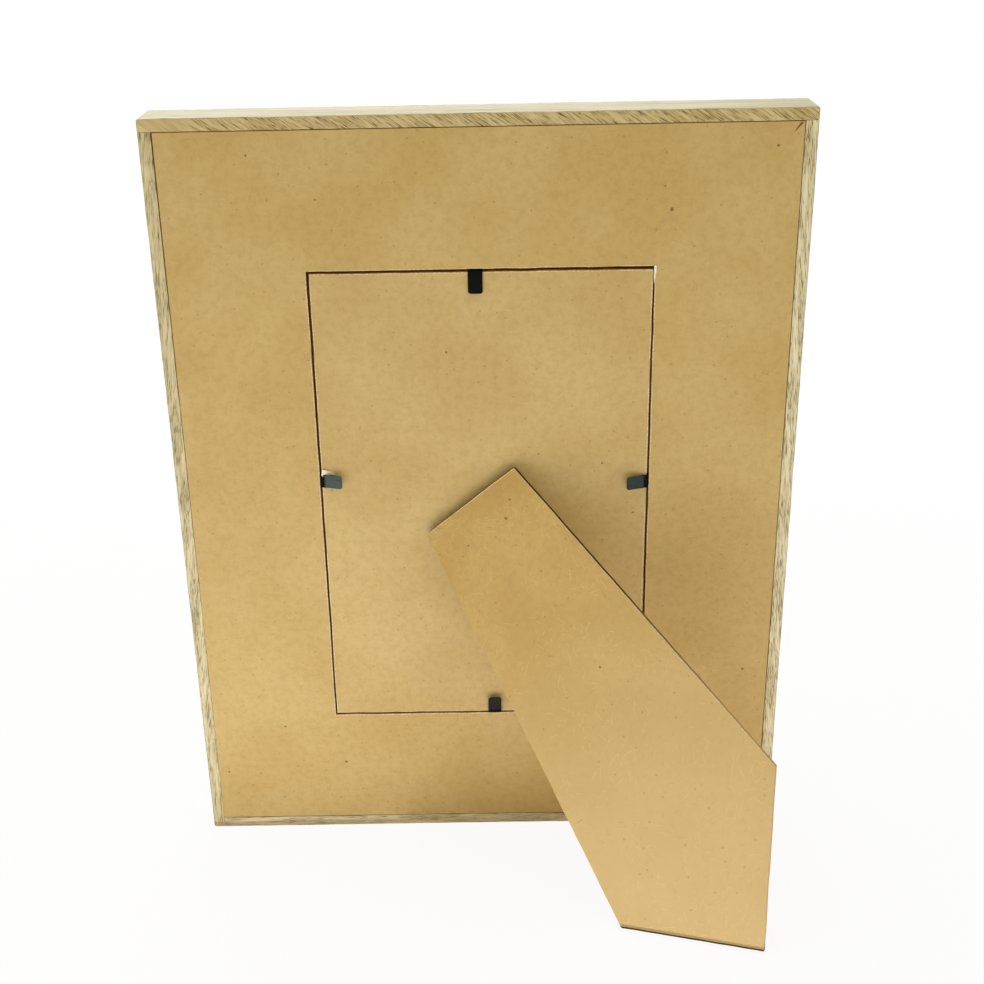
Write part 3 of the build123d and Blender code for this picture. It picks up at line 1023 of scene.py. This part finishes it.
# The floor, matt to the light and near white to the eye, and quite white a little way off
def pale_floor():
    material = bpy.data.materials.new("pale_floor")
    material.use_nodes = True
    nodes = Nodes(material.node_tree)
    nodes.tree.nodes.clear()
    point = nodes.add("ShaderNodeTexCoord", {}).outputs["Object"]
    far = nodes.add("ShaderNodeVectorMath", {0: point}, operation="LENGTH").outputs["Value"]
    growth = {"Value": far, "From Max": floor_white_from, "To Min": floor_white}
    whiter = nodes.add("ShaderNodeMapRange", growth).outputs["Result"]
    seen_white = nodes.math("MULTIPLY", nodes.seen_share(), whiter)
    matt = nodes.add("ShaderNodeBsdfDiffuse", {"Color": floor_tone}).outputs["BSDF"]
    glow = nodes.add("ShaderNodeEmission", {}).outputs["Emission"]
    either = nodes.add("ShaderNodeMixShader", {0: seen_white, 1: matt, 2: glow}).outputs["Shader"]
    nodes.add("ShaderNodeOutputMaterial", {"Surface": either})
    return material


floor = start("floor", bpy.ops.mesh.primitive_plane_add, size=floor_size, location=(0, 0, -floor_drop))
floor.data.materials.append(pale_floor())


# The room, a soft warm light that looks white
def white_room():
    world = bpy.data.worlds.new("white_room")
    world.use_nodes = True
    nodes = Nodes(world.node_tree)
    shown_tone = nodes.mix(nodes.seen_share(), room_tone, seen_room_tone)
    nodes.feed(nodes.tree.nodes["Background"].inputs["Color"], shown_tone)
    return world


bpy.context.scene.world = white_room()


# The lamps: soft boxes, and patches of the table that throw light back up
def soft_lamp(name, place, aim, size, watts, tone):
    """A square soft box, aimed at a point."""
    light = bpy.data.lights.new(name, "AREA")
    light.size = size
    light.energy = watts
    light.color = tone
    lamp = bpy.data.objects.new(name, light)
    bpy.context.collection.objects.link(lamp)
    lamp.location = place
    lamp.rotation_euler = (Vector(aim) - Vector(place)).to_track_quat("-Z", "Y").to_euler()
    lamp.visible_camera = False


def table_bounce(name, x, y, size, watts):
    soft_lamp(f"table_bounce_{name}", (x, y, bounce_height), (x, y, 1), size, watts, cool_white)


soft_lamp("overhead_soft_box", (0, 0.2, 1.0), frame_middle, size=0.7, watts=2.2, tone=warm_white)
soft_lamp("left_soft_box", (0.35, 0.1, 0.65), (0.35, 0.1, 0), size=0.4, watts=0.9, tone=cool_white)
table_bounce("left", 0.2, 0.1, size=0.2, watts=0.165)
table_bounce("middle", 0, 0.1, size=0.2, watts=0.128)
table_bounce("right", -0.2, 0.1, size=0.2, watts=0.12)
table_bounce("foot", 0.07, 0, size=0.08, watts=0.008)
soft_lamp("front_soft_box", (0.15, -0.95, 0.5), frame_middle, size=0.8, watts=3.5, tone=white)

# The camera, where the photograph was taken from
camera_data = bpy.data.cameras.new("photo_camera")
camera_data.lens = camera_lens
camera_data.shift_x = camera_shift
camera = bpy.data.objects.new("photo_camera", camera_data)
bpy.context.collection.objects.link(camera)
camera.location = camera_place
camera.rotation_euler = camera_turn
bpy.context.scene.camera = camera
bpy.context.scene.view_settings.view_transform = "Standard"
